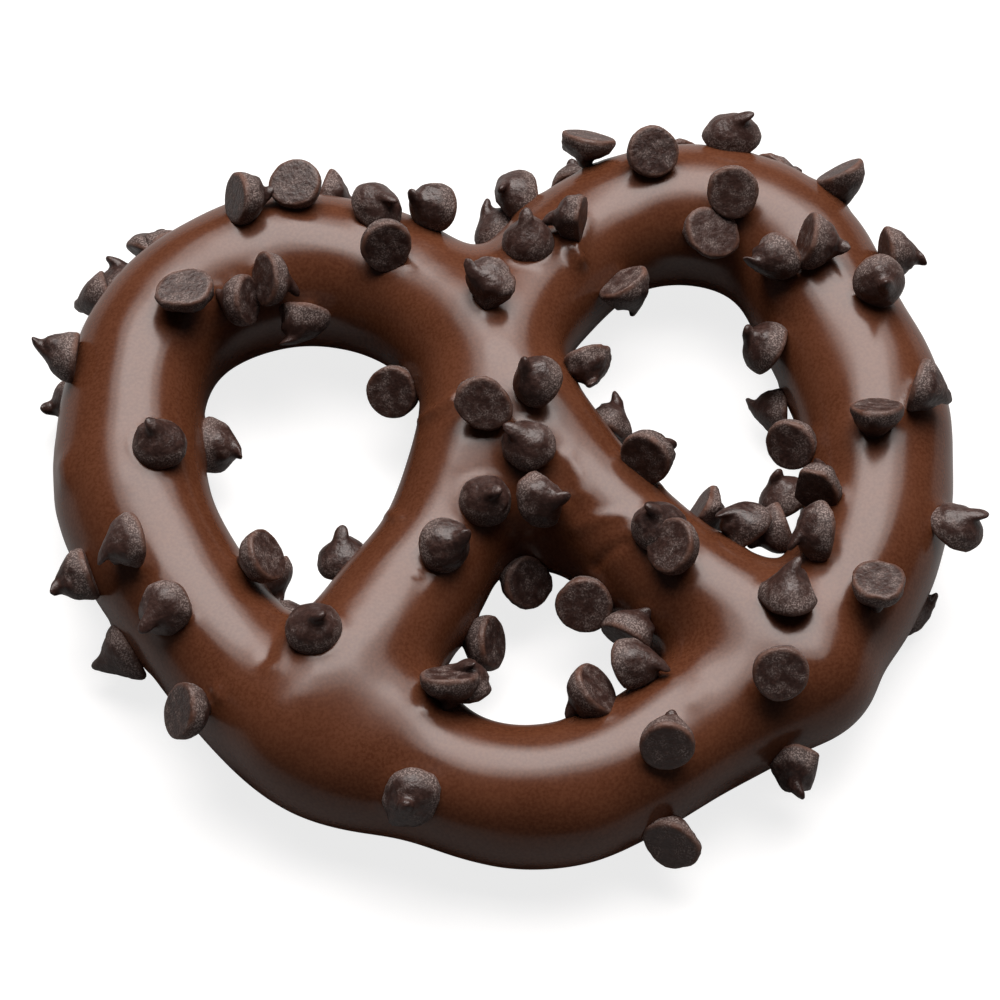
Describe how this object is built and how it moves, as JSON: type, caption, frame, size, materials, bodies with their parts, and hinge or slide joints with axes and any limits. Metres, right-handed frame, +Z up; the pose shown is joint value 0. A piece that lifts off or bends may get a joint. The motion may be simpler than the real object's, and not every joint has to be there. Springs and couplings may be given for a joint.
{
  "type": "chocolate covered pretzel",
  "caption": "Soft-twist pretzel in a thick milk chocolate coat, set all over with small dark chocolate chips.",
  "frame": {"origin": "middle of the pretzel's outline, on the surface that it lies on", "axes": "+Z up out of the flat pretzel, +X across its two upper loops, +Y along its middle line from the loop at its foot to the dip between the upper loops"},
  "size_m": [0.1041, 0.0938, 0.0247],
  "materials": {
    "milk_chocolate": "smooth satin milk chocolate, with small darker chips set in it"
  },
  "bodies": {
    "root": {"chocolate_pretzel": "milk_chocolate"}
  },
  "joints": []
}
